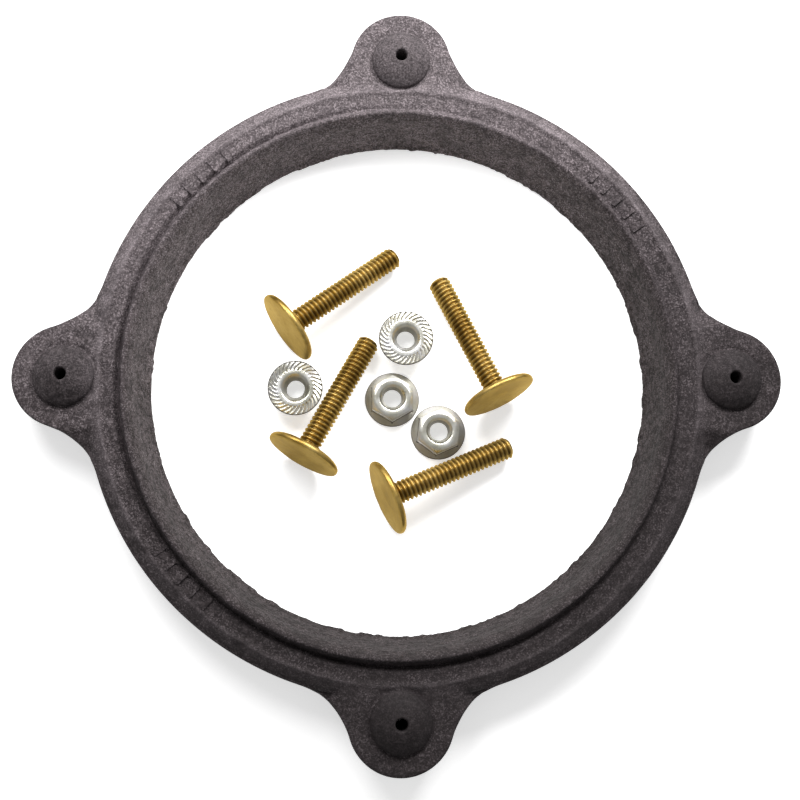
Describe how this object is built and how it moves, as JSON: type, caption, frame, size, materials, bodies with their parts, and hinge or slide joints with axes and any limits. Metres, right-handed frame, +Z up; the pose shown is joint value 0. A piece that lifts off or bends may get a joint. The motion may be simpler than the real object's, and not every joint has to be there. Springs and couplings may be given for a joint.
{
  "type": "toilet flange",
  "caption": "Eared rubber ring that seals and bolts a toilet outlet to its floor pipe, with its loose brass closet bolts and serrated flange nuts.",
  "frame": {"origin": "centre of the ring's round opening, on the plane that the ring's flat underside, the bolts and the nuts lie on", "axes": "+Z up, out of the domed side of the ring; +X and +Y each point through an ear"},
  "size_m": [0.2062, 0.2062, 0.0203],
  "materials": {
    "ring_rubber": "matte moulded rubber, dark grey with a fine pale bloom",
    "bolt_brass": "plain bright brass with light handling marks",
    "nut_zinc": "bright zinc plate over steel"
  },
  "bodies": {
    "ring": {"flange_ring": "ring_rubber"},
    "bolt_1": {"bolt_1": "bolt_brass"},
    "bolt_2": {"bolt_2": "bolt_brass"},
    "bolt_3": {"bolt_3": "bolt_brass"},
    "bolt_4": {"bolt_4": "bolt_brass"},
    "nut_1": {"nut_1": "nut_zinc"},
    "nut_2": {"nut_2": "nut_zinc"},
    "nut_3": {"nut_3": "nut_zinc"},
    "nut_4": {"nut_4": "nut_zinc"}
  },
  "joints": [
    {"name": "bolt_1_lift", "type": "slide", "parent": "ring", "child": "bolt_1", "axis": [0, 0, 1], "range_m": [0, 0.06]},
    {"name": "bolt_2_lift", "type": "slide", "parent": "ring", "child": "bolt_2", "axis": [0, 0, 1], "range_m": [0, 0.06]},
    {"name": "bolt_3_lift", "type": "slide", "parent": "ring", "child": "bolt_3", "axis": [0, 0, 1], "range_m": [0, 0.06]},
    {"name": "bolt_4_lift", "type": "slide", "parent": "ring", "child": "bolt_4", "axis": [0, 0, 1], "range_m": [0, 0.06]},
    {"name": "nut_1_lift", "type": "slide", "parent": "ring", "child": "nut_1", "axis": [0, 0, 1], "range_m": [0, 0.06]},
    {"name": "nut_2_lift", "type": "slide", "parent": "ring", "child": "nut_2", "axis": [0, 0, 1], "range_m": [0, 0.06]},
    {"name": "nut_3_lift", "type": "slide", "parent": "ring", "child": "nut_3", "axis": [0, 0, 1], "range_m": [0, 0.06]},
    {"name": "nut_4_lift", "type": "slide", "parent": "ring", "child": "nut_4", "axis": [0, 0, 1], "range_m": [0, 0.06]}
  ]
}
